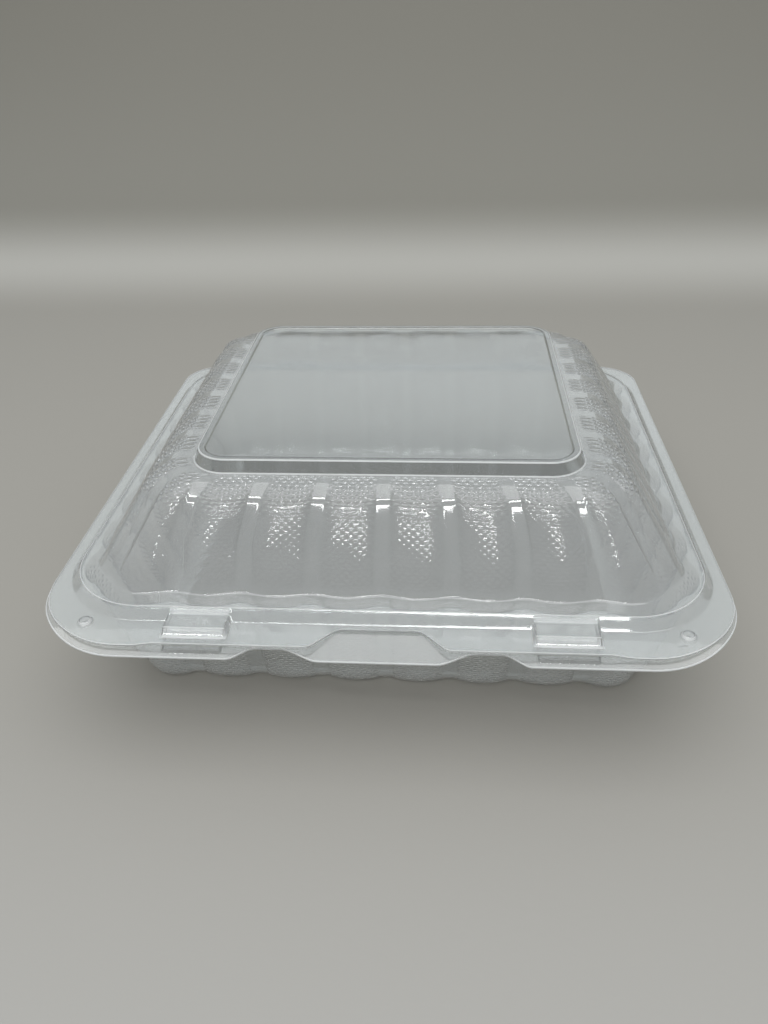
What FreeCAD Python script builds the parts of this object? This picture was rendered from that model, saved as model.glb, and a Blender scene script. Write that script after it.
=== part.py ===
import FreeCAD, Part
import math
import os
import Sketcher

# Hinged clear food pack, closed: a fluted tray and a fluted lid, formed as one thin sheet
# that folds along a crease at the back. Each half is one sheet, so each half is one solid.
#
# Frame: millimetres, +Z up, front towards -Y. The origin is on the floor under the middle of
# the pack. The two flanges meet at tray_height, and the fold line runs along X at the back.
# "Inset" is a distance in plan from the foot of the raised bead towards the middle.

# Each size is set here once: name, value, what it measures. Angles are in degrees.
SIZES = (
    ("sheet", 0.5, "thickness of the formed sheet"),
    ("fit_gap", 0.3, "play between nested surfaces of tray and lid"),
    ("pack_width", 230.0, "width over the flanges"),
    ("lid_depth", 220.0, "fold line to the front edge of the lid"),
    ("lip_reach", 2.8, "how far the tray lip stands out past the lid"),
    ("tray_height", 42.0, "floor to the plane where the flanges meet"),
    ("front_corner", 31.0, "corner radius of the flanges at the front"),
    ("rear_corner", 18.0, "corner radius of the flanges beside the fold"),
    ("bead_front", 10.6, "front edge of the lid to the foot of the bead"),
    ("bead_side", 4.0, "side edge of the flange to the foot of the bead"),
    ("bead_rear", 3.8, "fold line to the foot of the bead"),
    ("bead_run", 3.4, "width in plan of the sloping outer face of the bead"),
    ("bead_height", 4.0, "top of the lid bead above the meeting plane"),
    ("bead_corner", 31.0, "corner radius at the foot of the bead"),
    ("rib_count", 7.0, "narrow ribs on each wall"),
    ("rib_width", 4.6, "width of a rib"),
    ("front_pitch", 23.0, "rib spacing on the front and rear walls"),
    ("side_pitch", 22.0, "rib spacing on the side walls"),
    ("flute_depth", 2.0, "how far a panel bulges out between two ribs"),
    ("dome_corner", 23.0, "corner radius of the lid wall at the bead, at the ribs"),
    ("tray_corner", 24.0, "corner radius of the tray wall at the bead, at the ribs"),
    ("dome_inset", 10.7, "inset of the lid wall where it leaves the bead, at the ribs"),
    ("dome_height", 34.0, "meeting plane to the plateau of the lid"),
    ("dome_slope", 55.6, "slope of the lid wall from level"),
    ("shoulder", 10.0, "radius between lid wall and plateau"),
    ("shoulder_corner", 13.0, "corner radius of the plateau, at its edge"),
    ("crown_front", 38.1, "inset of the step up to the top panel, at the front"),
    ("crown_width", 136.0, "width of the step at its foot"),
    ("crown_length", 131.0, "front to back of the step at its foot"),
    ("crown_corner", 13.0, "corner radius of the step at its foot"),
    ("crown_rise", 4.5, "height of the step"),
    ("crown_run", 1.8, "width in plan of the sloping side of the step"),
    ("frame_width", 2.4, "width of the narrow rim round the top panel"),
    ("panel_drop", 0.7, "how far the top panel lies below its rim"),
    ("panel_corner", 9.0, "corner radius of the top panel"),
    ("mouth_inset", 6.8, "inset of the tray wall at the top of its bead, at the ribs"),
    ("tray_draft", 15.0, "lean of the tray wall from upright"),
    ("floor_radius", 8.0, "radius between tray wall and floor"),
    ("lip_width", 11.8, "width of the lip that bends down at the front of the tray"),
    ("lip_drop", 2.8, "how far the edge of that lip hangs below the flange"),
    ("tab_half", 20.0, "half width of the middle tab of the lip"),
    ("tab_slope", 9.0, "length in plan of the slanting side of that tab"),
    ("recess_width", 11.0, "straight back edge of the recess beside the tab"),
    ("recess_slope", 6.5, "length in plan of the slanting outer side of the recess"),
    ("recess_depth", 4.2, "how far the recess is set back from the lip edge"),
    ("recess_round", 9.0, "rounding of the recess corners"),
    ("notch_mouth", 21.6, "half width of the finger notch at the lid edge"),
    ("notch_root", 13.3, "half width of the finger notch at its root"),
    ("notch_depth", 8.6, "depth of the finger notch"),
    ("notch_round", 3.0, "corner radius of the finger notch"),
    ("latch_gap", 2.0, "end of the recess to the inner side of a latch block"),
    ("latch_width", 20.7, "width of a latch block"),
    ("latch_rear", 13.5, "back of a latch block, from the lid edge"),
    ("latch_crest", 5.5, "front of its flat top, from the lid edge"),
    ("latch_toe", 3.0, "front of its sloping face, from the lid edge"),
    ("latch_height", 2.6, "top of a latch block above the meeting plane"),
    ("latch_step", 0.9, "height left at the toe of a latch block"),
    ("keeper_reach", 1.0, "how far the tray's latch block stands out past the lid edge"),
    ("keeper_step", 1.2, "height left at the front of the tray's latch block"),
    ("pip_across", 96.3, "centre of a corner pip from the middle"),
    ("pip_back", 9.6, "centre of a corner pip from the lid edge"),
    ("pip_radius", 2.1, "radius of a pip on the lid"),
    ("pip_height", 1.0, "height of a pip above its flange"),
)
# Flat facets that stand for each curve, and the sides of the pack.
SHOULDER_STEPS = 2
PANEL_FACETS = 3
PIP_FACETS = 10
SIDES = 4


def make_sheet(doc):
    """Fill the spreadsheet that drives the model and give each value its name."""
    sheet = doc.addObject("Spreadsheet::Sheet", "Sizes")
    for row, (alias, value, note) in enumerate(SIZES, start=1):
        sheet.set(f"A{row}", note)
        sheet.set(f"B{row}", str(value))
        sheet.setAlias(f"B{row}", alias)
    doc.recompute()
    return sheet


class Values:
    """The named sizes as plain numbers, and the places that follow from them."""

    def __init__(self, sheet):
        for alias, _, _ in SIZES:
            setattr(self, alias, float(sheet.get(alias)))
        self.fold = (self.lid_depth + self.lip_reach) / 2
        self.lid_front = self.fold - self.lid_depth
        foot_front = self.lid_front + self.bead_front
        foot_rear = self.fold - self.bead_rear
        self.middle = (foot_front + foot_rear) / 2
        self.foot_half_x = self.pack_width / 2 - self.bead_side
        self.foot_half_y = (foot_rear - foot_front) / 2
        self.bead_lean = self.bead_run / (self.bead_height - self.sheet)
        self.tray_bead = self.bead_height - self.sheet - self.fit_gap
        self.lip_shoulder = self.tab_half + self.tab_slope + self.recess_width + self.recess_slope
        self.latch_inner = self.lip_shoulder + self.latch_gap


# Places that expressions use, written with the names in the spreadsheet.
FOLD = "(Sizes.lid_depth + Sizes.lip_reach) / 2"
LID_FRONT = f"({FOLD} - Sizes.lid_depth)"
LIP_FRONT = f"(-{FOLD})"
LIP_BEND = f"({LIP_FRONT} + Sizes.lip_width)"
LIP_FALL = "(Sizes.lip_drop / Sizes.lip_width)"
HALF_WIDTH = "(Sizes.pack_width / 2)"
RECESS_INNER = "(Sizes.tab_half + Sizes.tab_slope)"
RECESS_OUTER = f"({RECESS_INNER} + Sizes.recess_width)"
LIP_SHOULDER = f"({RECESS_OUTER} + Sizes.recess_slope)"
LATCH_INNER = f"({LIP_SHOULDER} + Sizes.latch_gap)"
LATCH_OUTER = f"({LATCH_INNER} + Sizes.latch_width)"


def origin_plane(body, role):
    """Give the origin plane of a body that has the role asked for."""
    return next(item for item in body.Origin.OriginFeatures if item.Role == role)


def polygon_sketch(body, name, role, corners):
    """Draw a closed polygon whose corners are expressions, on a plane of the body."""
    sketch = body.newObject("Sketcher::SketchObject", name)
    sketch.AttachmentSupport = (origin_plane(body, role), "")
    sketch.MapMode = "FlatFace"
    turn = [2 * math.pi * step / len(corners) for step in range(len(corners))]
    spots = [FreeCAD.Vector(math.cos(angle), math.sin(angle), 0) for angle in turn]
    for index, spot in enumerate(spots):
        sketch.addGeometry(Part.LineSegment(spot, spots[(index + 1) % len(spots)]), False)
    for index in range(len(spots)):
        following = (index + 1) % len(spots)
        sketch.addConstraint(Sketcher.Constraint("Coincident", index, 2, following, 1))
    for index, (across, along) in enumerate(corners):
        for kind, expression in (("DistanceX", across), ("DistanceY", along)):
            label = f"{kind}{index}"
            value = getattr(spots[index], kind[-1].lower())
            number = sketch.addConstraint(Sketcher.Constraint(kind, -1, 1, index, 1, value))
            sketch.renameConstraint(number, label)
            sketch.setExpression(f"Constraints.{label}", expression)
    return sketch


def padded_body(doc, name, role, corners, length, level=None, across=None, centred=False):
    """Pad a polygon, with its length and the body's place bound to the spreadsheet."""
    body = doc.addObject("PartDesign::Body", name)
    sketch = polygon_sketch(body, f"{name}_sketch", role, corners)
    pad = body.newObject("PartDesign::Pad", f"{name}_pad")
    pad.Profile = sketch
    pad.setExpression("Length", length)
    pad.Midplane = centred
    if level:
        body.setExpression("Placement.Base.z", level)
    if across:
        body.setExpression("Placement.Base.x", across)
    doc.recompute()
    return body


def round_corners(doc, body, name, radius, wanted):
    """Round the upright edges of a padded body that stand at the wanted places."""
    base = body.Tip
    picked = []
    for number, edge in enumerate(base.Shape.Edges, start=1):
        ends = [vertex.Point for vertex in edge.Vertexes]
        upright = len(ends) == 2 and (ends[0] - ends[1]).cross(FreeCAD.Vector(0, 0, 1)).Length < 1e-6
        if upright and wanted(ends[0].x, ends[0].y):
            picked.append(f"Edge{number}")
    fillet = body.newObject("PartDesign::Fillet", name)
    fillet.Base = (base, picked)
    fillet.setExpression("Radius", f"Sizes.{radius}")
    body.Tip = fillet
    doc.recompute()


def mirrored(right_half):
    """Close a polygon: the right half, and the same corners on the left, last one first."""
    left = [(f"-({across})", along) for across, along in reversed(right_half)]
    return right_half + left


def plain_ring(half_x, half_y, radius, level, middle):
    """Give a level rounded rectangle as a wire."""
    turn = radius * math.sqrt(0.5)
    edges = []
    for side in range(SIDES):
        half_along, half_out = (half_x, half_y) if side % 2 == 0 else (half_y, half_x)
        run, out = half_along - radius, half_out - radius

        def at(along, outward):
            return on_side(side, along, outward, level, middle)

        edges.append(Part.LineSegment(at(-run, half_out), at(run, half_out)).toShape())
        edges.append(Part.Arc(at(run, half_out), at(run + turn, out + turn),
                              at(half_along, out)).toShape())
    return Part.Wire(edges)


def on_side(side, along, outward, level, middle):
    """Give a point from its place along a side, counted anticlockwise, and its distance out."""
    x, y = ((along, -outward), (outward, along), (-along, outward), (-outward, -along))[side]
    return FreeCAD.Vector(x, y + middle, level)


def bowed(near, crest, far):
    """Give an arc through three points as a chain of equal facets, or of a straight line's parts."""
    straight = (crest - near).cross(far - near).Length < Part.Precision.confusion()
    curve = Part.LineSegment(near, far) if straight else Part.Arc(near, crest, far)
    points = curve.toShape().discretize(Number=PANEL_FACETS + 1)
    return [Part.LineSegment(*pair).toShape() for pair in zip(points, points[1:])]


def fluted_ring(size, half_x, half_y, radius, bulge, level):
    """Give a level ring of short straight ribs with bulged panels between them.

    Half sizes and radius are those of the ribs. The panels stand out past them by the bulge,
    and a rib crosses each corner.
    """
    half_rib = size.rib_width / 2
    reach = (size.rib_count - 1) / 2
    edges = []
    for side in range(SIDES):
        half_along, half_out = (half_x, half_y) if side % 2 == 0 else (half_y, half_x)
        pitch = size.front_pitch if side % 2 == 0 else size.side_pitch
        shrink = min(1.0, (half_along - radius) / (reach * pitch + half_rib))

        def at(along, outward):
            return on_side(side, along, outward, level, size.middle)

        ribs = [((index - reach) * pitch) * shrink for index in range(int(size.rib_count))]
        for index, rib in enumerate(ribs):
            edges.append(Part.LineSegment(at(rib - half_rib, half_out),
                                          at(rib + half_rib, half_out)).toShape())
            if index + 1 < len(ribs):
                near, far = at(rib + half_rib, half_out), at(ribs[index + 1] - half_rib, half_out)
                edges += bowed(near, at((rib + ribs[index + 1]) / 2, half_out + bulge), far)
        edges += corner_edges(size, side, (half_x, half_y), radius, bulge, level, ribs[-1])
    return Part.Wire(edges)


def corner_edges(size, side, half, radius, bulge, level, last_rib):
    """Give panel, diagonal rib and panel between the end ribs of two sides."""
    half_along, half_out = half if side % 2 == 0 else half[::-1]
    half_rib = size.rib_width / 2
    following = (side + 1) % SIDES
    pitch = size.side_pitch if side % 2 == 0 else size.front_pitch
    reach = (size.rib_count - 1) / 2
    shrink = min(1.0, (half_out - radius) / (reach * pitch + half_rib))
    first_rib = reach * pitch * shrink
    centre = (half_along - radius, half_out - radius)

    def around(angle, distance, slide=0.0):
        lean = math.radians(angle)
        along = centre[0] + distance * math.sin(lean) + slide * math.cos(lean)
        outward = centre[1] + distance * math.cos(lean) - slide * math.sin(lean)
        return on_side(side, along, outward, level, size.middle)

    start = on_side(side, last_rib + half_rib, half_out, level, size.middle)
    end = on_side(following, -first_rib - half_rib, half_along, level, size.middle)
    near, far = around(45, radius, -half_rib), around(45, radius, half_rib)
    return (bowed(start, around(22.5, radius + bulge), near)
            + [Part.LineSegment(near, far).toShape()]
            + bowed(far, around(67.5, radius + bulge), end))


def loft(doc, name, rings):
    """Make a solid through a stack of rings, with straight lines from ring to ring."""
    sections = []
    for index, ring in enumerate(rings):
        section = doc.addObject("Part::Feature", f"{name}_ring{index}")
        section.Shape = ring
        sections.append(section)
    solid = doc.addObject("Part::Loft", name)
    solid.Sections = sections
    solid.Solid = True
    solid.Ruled = True
    return solid


def bead_loft(doc, name, size, depth, bottom, top):
    """Make the raised block inside the bead, at a depth under the lid's outer surface."""
    rings = []
    for height in (bottom, top):
        inset = (height - size.sheet) * size.bead_lean + depth * math.hypot(1, size.bead_lean)
        rings.append(plain_ring(size.foot_half_x - inset, size.foot_half_y - inset,
                                size.bead_corner - inset, size.tray_height + height, size.middle))
    return loft(doc, name, rings)


def offset_rows(rows, depth):
    """Move a profile of inset, height, radius and bulge rows sideways by the depth."""
    moved = []
    for index, (inset, height, radius, bulge) in enumerate(rows):
        normals = []
        for start, end in ((index - 1, index), (index, index + 1)):
            if start >= 0 and end < len(rows):
                run, rise = rows[end][0] - rows[start][0], rows[end][1] - rows[start][1]
                length = math.hypot(run, rise)
                normals.append((abs(rise) / length, -run / length * math.copysign(1, rise)))
        across = sum(normal[0] for normal in normals)
        upward = sum(normal[1] for normal in normals)
        scale = depth * len(normals) / (across ** 2 + upward ** 2)
        moved.append((inset + across * scale, height + upward * scale,
                      radius - across * scale, bulge))
    return moved


def stretched(rows, height):
    """Slide the first row of a profile along its own wall to the height given."""
    (inset, start, radius, bulge), (second, level, far_radius, _) = rows[0], rows[1]
    share = (height - start) / (level - start)
    first = (inset + share * (second - inset), height,
             radius + share * (far_radius - radius), bulge)
    return [first] + rows[1:]


def fluted_loft(doc, name, size, rows):
    """Make the fluted block of a profile."""
    return loft(doc, name, [
        fluted_ring(size, size.foot_half_x - inset, size.foot_half_y - inset, radius, bulge,
                    size.tray_height + height) for inset, height, radius, bulge in rows])


def turned_rows(start, level, radius, lean, corner):
    """Give the rows of a wall and of the round that ends it on a level surface.

    Start is the row at the bead, lean the slope of the wall from level in degrees, and corner
    the plan radius where the round ends.
    """
    inset, height, first_corner, bulge = start
    way = math.copysign(1, level - height)
    slope = math.radians(lean)
    reach = abs(level - height) / math.tan(slope)
    tangent = radius * math.tan(slope / 2)
    centre = (inset + reach + tangent, level - way * radius)
    rows = [start]
    for step in range(SHOULDER_STEPS + 1):
        share = step / SHOULDER_STEPS
        angle = slope * (1 - share)
        rows.append((centre[0] - radius * math.sin(angle), centre[1] + way * radius * math.cos(angle),
                     0.0, bulge))
    run = rows[-1][0] - inset
    return [rows[0]] + [(place, up, first_corner + (corner - first_corner) * (place - inset) / run,
                         swell) for place, up, _, swell in rows[1:]]


def latch_blocks(doc, name, corners, narrow):
    """Make the pair of latch blocks, or the hollows in them when narrowed by the sheet."""
    length = f"Sizes.latch_width - 2 * ({narrow})"
    blocks = []
    for side, across in (("right", f"{LATCH_INNER} + {narrow}"),
                         ("left", f"-{LATCH_OUTER} + {narrow}")):
        blocks.append(padded_body(doc, f"{name}_{side}", "YZ_Plane", corners, length,
                                  level="Sizes.tray_height", across=across))
    return blocks


def pips(doc, name, radius, rise, level):
    """Make the pair of small corner pips, or their hollows."""
    pair = []
    for side, sign in (("right", ""), ("left", "-")):
        pip = doc.addObject("Part::Prism", f"{name}_{side}")
        pip.Polygon = PIP_FACETS
        pip.setExpression("Circumradius", radius)
        pip.setExpression("Height", rise)
        pip.setExpression("Placement.Base.x", f"{sign}Sizes.pip_across")
        pip.setExpression("Placement.Base.y", f"{LID_FRONT} + Sizes.pip_back")
        pip.setExpression("Placement.Base.z", f"Sizes.tray_height + {level}")
        pair.append(pip)
    return pair


def fused(doc, name, shapes):
    """Join several objects into one."""
    joined = doc.addObject("Part::MultiFuse", name)
    joined.Shapes = shapes
    return joined


def combined(doc, kind, name, base, tool):
    """Cut one object by another, or keep what they share."""
    result = doc.addObject(kind, name)
    result.Base = base
    result.Tool = tool
    return result


def make_tray(doc, size):
    """Build the tray: flange with its lip, bead, latch blocks, pips and fluted walls."""
    level = "Sizes.tray_height"
    past = f"({LIP_FRONT} - Sizes.sheet)"
    drop = f"(({LIP_BEND} - {past}) * {LIP_FALL})"
    profile = [(FOLD, "0"), (LIP_BEND, "0"), (past, f"-{drop}"), (past, f"-{drop} - Sizes.sheet"),
               (LIP_BEND, "-Sizes.sheet"), (FOLD, "-Sizes.sheet")]
    strip = padded_body(doc, "tray_strip", "YZ_Plane", profile, "Sizes.pack_width",
                        level=level, centred=True)
    back = f"({LIP_FRONT} + Sizes.recess_depth)"
    outline = padded_body(doc, "tray_outline", "XY_Plane", mirrored([
        ("Sizes.tab_half", LIP_FRONT), (RECESS_INNER, back), (RECESS_OUTER, back),
        (LIP_SHOULDER, LIP_FRONT), (HALF_WIDTH, LIP_FRONT), (HALF_WIDTH, FOLD)]),
        f"{level} + Sizes.bead_height")
    round_flange(doc, outline, "tray", size)
    round_corners(doc, outline, "tray_lip_rounds", "recess_round",
                  lambda x, y: abs(x) < size.latch_inner and y < 0)
    flange = combined(doc, "Part::Common", "tray_flange", strip, outline)

    bead = bead_loft(doc, "tray_bead", size, size.sheet + size.fit_gap, 0.0, size.tray_bead)
    hollow = bead_loft(doc, "tray_bead_hollow", size, 2 * size.sheet + size.fit_gap,
                       -2 * size.sheet, size.tray_bead - size.sheet)
    top = "(Sizes.latch_height - Sizes.sheet - Sizes.fit_gap)"
    nest = "(Sizes.sheet + Sizes.fit_gap)"
    crest = f"({LID_FRONT} + Sizes.latch_crest + Sizes.fit_gap)"
    toe = f"({LID_FRONT} + Sizes.latch_toe + {nest})"
    rear = f"({LID_FRONT} + Sizes.latch_rear)"
    nose = f"({LID_FRONT} - Sizes.keeper_reach)"
    lip_at_nose = f"(-({LIP_BEND} - {nose}) * {LIP_FALL})"
    keeper = [(rear, top), (crest, top), (toe, f"Sizes.latch_step - {nest}"),
              (toe, "-Sizes.fit_gap"), (nose, f"{lip_at_nose} + Sizes.keeper_step"),
              (nose, f"{lip_at_nose} - Sizes.sheet / 2"), (LIP_BEND, "-Sizes.sheet / 2"),
              (rear, "-Sizes.sheet / 2")]
    blocks = latch_blocks(doc, "tray_latch", keeper, "Sizes.sheet + Sizes.fit_gap")
    under = [(rear, f"{top} - Sizes.sheet"), (f"{crest} + Sizes.sheet / 2", f"{top} - Sizes.sheet"),
             (f"{toe} + Sizes.sheet", f"Sizes.latch_step - {nest} - Sizes.sheet"),
             (f"{toe} + Sizes.sheet", "-Sizes.fit_gap - Sizes.sheet"),
             (f"{nose} + Sizes.sheet", f"{lip_at_nose} + Sizes.keeper_step - Sizes.sheet"),
             (f"{nose} + Sizes.sheet", f"{lip_at_nose} - 2 * Sizes.sheet"),
             (rear, f"{lip_at_nose} - 2 * Sizes.sheet")]
    hollows = latch_blocks(doc, "tray_latch_hollow", under, "2 * Sizes.sheet + Sizes.fit_gap")
    studs = pips(doc, "tray_pip", f"Sizes.pip_radius - {nest}",
                 "Sizes.pip_height - Sizes.fit_gap + Sizes.sheet / 2", "-Sizes.sheet / 2")
    rim = combined(doc, "Part::Cut", "tray_rim",
                   fused(doc, "tray_blocks", [flange, bead] + blocks + studs),
                   fused(doc, "tray_hollows", [hollow] + hollows))

    start = (size.mouth_inset, size.tray_bead - size.sheet / 2, size.tray_corner, size.flute_depth)
    rows = turned_rows(start, -size.tray_height, size.floor_radius, 90 - size.tray_draft,
                       size.floor_radius)
    outer = fluted_loft(doc, "tray_outer", size, rows)
    inner_rows = stretched(offset_rows(rows, size.sheet), size.tray_bead + size.sheet)
    inner = fluted_loft(doc, "tray_inner", size, inner_rows)
    return combined(doc, "Part::Cut", "base_tray", fused(doc, "tray_full", [rim, outer]), inner)


def round_flange(doc, body, name, size):
    """Round the four corners of a flange outline."""
    edge = size.pack_width / 2 - size.sheet
    round_corners(doc, body, f"{name}_front_rounds", "front_corner",
                  lambda x, y: abs(x) > edge and y < 0)
    round_corners(doc, body, f"{name}_rear_rounds", "rear_corner",
                  lambda x, y: abs(x) > edge and y > 0)


def make_lid(doc, size):
    """Build the lid: flange with its notch, bead, latch blocks, pips, dome and top panel."""
    level = "Sizes.tray_height"
    root = f"({LID_FRONT} + Sizes.notch_depth)"
    flange = padded_body(doc, "lid_flange", "XY_Plane", mirrored([
        ("Sizes.notch_root", root), ("Sizes.notch_mouth", LID_FRONT),
        (HALF_WIDTH, LID_FRONT), (HALF_WIDTH, FOLD)]), "Sizes.sheet", level=level)
    round_flange(doc, flange, "lid", size)
    round_corners(doc, flange, "lid_notch_rounds", "notch_round",
                  lambda x, y: abs(x) < size.latch_inner and y < 0)

    bead = bead_loft(doc, "lid_bead", size, 0.0, size.sheet / 2, size.bead_height)
    hollow = bead_loft(doc, "lid_bead_hollow", size, size.sheet, -size.sheet,
                       size.bead_height - size.sheet)
    rear = f"({LID_FRONT} + Sizes.latch_rear)"
    crest, toe = f"({LID_FRONT} + Sizes.latch_crest)", f"({LID_FRONT} + Sizes.latch_toe)"
    block = [(rear, "Sizes.latch_height"), (crest, "Sizes.latch_height"),
             (toe, "Sizes.latch_step"), (toe, "Sizes.sheet / 2"), (rear, "Sizes.sheet / 2")]
    blocks = latch_blocks(doc, "lid_latch", block, "0")
    under = [(rear, "Sizes.latch_height - Sizes.sheet"),
             (crest, "Sizes.latch_height - Sizes.sheet"),
             (f"{toe} + Sizes.sheet", "Sizes.latch_step - Sizes.sheet"),
             (f"{toe} + Sizes.sheet", "-Sizes.sheet"), (rear, "-Sizes.sheet")]
    hollows = latch_blocks(doc, "lid_latch_hollow", under, "Sizes.sheet")
    studs = pips(doc, "lid_pip", "Sizes.pip_radius", "Sizes.pip_height + Sizes.sheet / 2",
                 "Sizes.sheet / 2")
    caves = pips(doc, "lid_pip_hollow", "Sizes.pip_radius - Sizes.sheet",
                 "Sizes.pip_height + Sizes.sheet / 2", "-Sizes.sheet / 2")

    start = (size.dome_inset, size.bead_height, size.dome_corner, size.flute_depth)
    rows = turned_rows(start, size.dome_height, size.shoulder, size.dome_slope,
                       size.shoulder_corner)
    dome = fluted_loft(doc, "lid_dome", size, stretched(rows, size.bead_height - size.sheet / 2))
    under_rows = stretched(offset_rows(rows, size.sheet), size.bead_height - 2 * size.sheet)
    dome_hollow = fluted_loft(doc, "lid_dome_hollow", size, under_rows)

    crown, crown_hollow, panel = make_crown(doc, size)
    solid = fused(doc, "lid_blocks", [flange, bead, dome, crown] + blocks + studs)
    spaces = fused(doc, "lid_hollows", [hollow, dome_hollow, crown_hollow] + hollows + caves)
    return combined(doc, "Part::Cut", "lid",
                    combined(doc, "Part::Cut", "lid_formed", solid, spaces), panel)


def make_crown(doc, size):
    """Build the step under the top panel, the space inside it, and the panel's recess."""
    front = size.lid_front + size.bead_front + size.crown_front
    middle = front + size.crown_length / 2
    lean = size.crown_run / size.crown_rise
    foot, top = size.dome_height, size.dome_height + size.crown_rise

    def ring(inset, height, radius):
        return plain_ring(size.crown_width / 2 - inset, size.crown_length / 2 - inset, radius,
                          size.tray_height + height, middle)

    def slope(name, depth, bottom, ceiling):
        shift = depth * math.hypot(1, lean)
        insets = [(height - foot) * lean + shift for height in (bottom, ceiling)]
        return loft(doc, name, [ring(inset, height, size.crown_corner - inset)
                                for inset, height in zip(insets, (bottom, ceiling))])

    crown = slope("lid_crown", 0.0, foot - size.sheet / 2, top)
    space = slope("lid_crown_space", size.sheet, foot - 2 * size.sheet, top - size.sheet)
    edge = size.crown_run + size.frame_width
    ceiling = loft(doc, "lid_panel_block", [
        ring(edge - size.sheet, height, size.panel_corner + size.sheet)
        for height in (top - size.panel_drop - size.sheet, top)])
    recess = loft(doc, "lid_panel_recess", [
        ring(edge, height, size.panel_corner)
        for height in (top - size.panel_drop, top + size.sheet)])
    return crown, combined(doc, "Part::Cut", "lid_crown_hollow", space, ceiling), recess


def check(doc, parts):
    """Stop if an object failed or a finished part is not one valid solid."""
    failed = [item.Name for item in doc.Objects if {"Invalid", "Error"} & set(item.State)]
    if failed:
        raise RuntimeError(f"objects failed: {failed}")
    for part in parts:
        shape = part.Shape
        if shape.isNull() or not shape.isValid() or len(shape.Solids) != 1:
            raise RuntimeError(f"{part.Label} is not one valid solid")
        print(part.Label, "volume", round(shape.Volume), "box", shape.BoundBox)


def main():
    """Build both halves and write them out."""
    os.makedirs("parts", exist_ok=True)
    doc = FreeCAD.newDocument("clamshell_pack")
    size = Values(make_sheet(doc))
    parts = [make_tray(doc, size), make_lid(doc, size)]
    doc.recompute()
    check(doc, parts)
    for part in parts:
        part.Shape.exportStep(os.path.join("parts", f"{part.Label}.step"))


main()
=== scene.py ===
"""Clear hinged food pack, dressed: two thin formed shells, the crease between them, and the studio.

Shapes are worked out in millimetres in the frame's own axes and turned into metres when a mesh
is made. Each shell is a grid: columns run round the pack, rows run from the cut edge inwards.
"""
import logging
import math
from dataclasses import dataclass, field
from enum import Enum, IntEnum
from typing import Callable

import bmesh
import bpy
import numpy as np
from mathutils import Matrix, Vector


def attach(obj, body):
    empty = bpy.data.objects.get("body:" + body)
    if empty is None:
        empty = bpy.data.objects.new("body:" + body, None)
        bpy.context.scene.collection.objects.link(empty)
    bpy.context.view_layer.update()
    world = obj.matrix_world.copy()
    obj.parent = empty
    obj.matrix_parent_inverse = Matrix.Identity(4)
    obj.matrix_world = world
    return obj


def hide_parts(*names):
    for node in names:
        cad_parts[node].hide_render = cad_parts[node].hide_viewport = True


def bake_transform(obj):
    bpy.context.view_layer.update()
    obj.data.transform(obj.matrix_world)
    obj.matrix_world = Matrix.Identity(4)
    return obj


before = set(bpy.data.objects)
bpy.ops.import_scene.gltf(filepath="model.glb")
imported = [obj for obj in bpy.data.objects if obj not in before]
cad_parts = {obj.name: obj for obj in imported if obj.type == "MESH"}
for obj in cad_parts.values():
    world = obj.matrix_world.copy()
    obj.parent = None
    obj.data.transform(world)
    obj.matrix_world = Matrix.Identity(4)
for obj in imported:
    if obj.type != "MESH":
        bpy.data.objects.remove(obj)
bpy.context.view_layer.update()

MM = 0.001
LEVEL = 42.0
WAYS = ((1, 0), (0, 1), (-1, 0), (0, -1))
LOG = logging.getLogger("pack")

Profile = list[tuple[float, float, bool]]
Triple = tuple[float, float, float]
Socket = bpy.types.NodeSocket


def placed(name: str, data: bpy.types.ID) -> bpy.types.Object:
    """Make an object and put it in the scene.

    Args:
        name: the object's name.
        data: its mesh, lamp or camera.

    Returns:
        The object, unmoved.
    """
    item = bpy.data.objects.new(name, data)
    bpy.context.scene.collection.objects.link(item)
    return item


class Side(Enum):
    """Sides of the pack, anticlockwise from above."""

    FRONT = 0
    RIGHT = 1
    REAR = 2
    LEFT = 3

    @property
    def way(self) -> np.ndarray:
        """Give the way along the side, anticlockwise."""
        return np.array(WAYS[self.value], float)

    @property
    def out(self) -> np.ndarray:
        """Give the way out of the pack."""
        return np.array(WAYS[self.value - 1], float)

    @property
    def following(self) -> "Side":
        """Give the next side."""
        return Side((self.value + 1) % 4)

    @property
    def crosswise(self) -> bool:
        """Tell whether the side runs from left to right."""
        return self in (Side.FRONT, Side.REAR)


class Half(Enum):
    """Halves of the pack, with the way that their outer skin faces."""

    TRAY = -1
    LID = 1


class Skin(IntEnum):
    """Finishes on a half, by their place in its list."""

    SHEET = 0
    INSIDE = 1
    # CUT: the trimmed edge, rough and dull, and whitened partly as painted light
    CUT = 2
    # BEND: strips painted white as painted highlights on bends and edges
    BEND = 3
    RIM = 4
    WALL = 5


def soft_ramp(value: float, ease: float = 0.22) -> float:
    """Rise from 0 to 1 in a straight line whose two ends are rounded.

    Args:
        value: where on the line, 0 and 1 being its ends before the rounding.
        ease: how far each rounding reaches.

    Returns:
        The height there.
    """
    if value <= -ease:
        return 0.0
    if value < ease:
        return (value + ease) ** 2 / (4 * ease)
    if value <= 1 - ease:
        return value
    if value < 1 + ease:
        return 1 - (1 + ease - value) ** 2 / (4 * ease)
    return 1.0


def smooth(low: float, high: float, value: float) -> float:
    """Rise from 0 at low to 1 at high with level ends."""
    share = min(1.0, max(0.0, (value - low) / (high - low)))
    return share * share * (3 - 2 * share)


@dataclass(frozen=True)
class Bend:
    """A corner of a profile: where it is, how round, how finely it and its approach divide.

    A sharp bend may be painted white: a painted highlight that stands in for the light its tight
    curve catches.
    """

    inset: float
    level: float
    radius: float = 0.0
    steps: int = 1
    cuts: int = 1
    painted_highlight: bool = False


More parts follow.
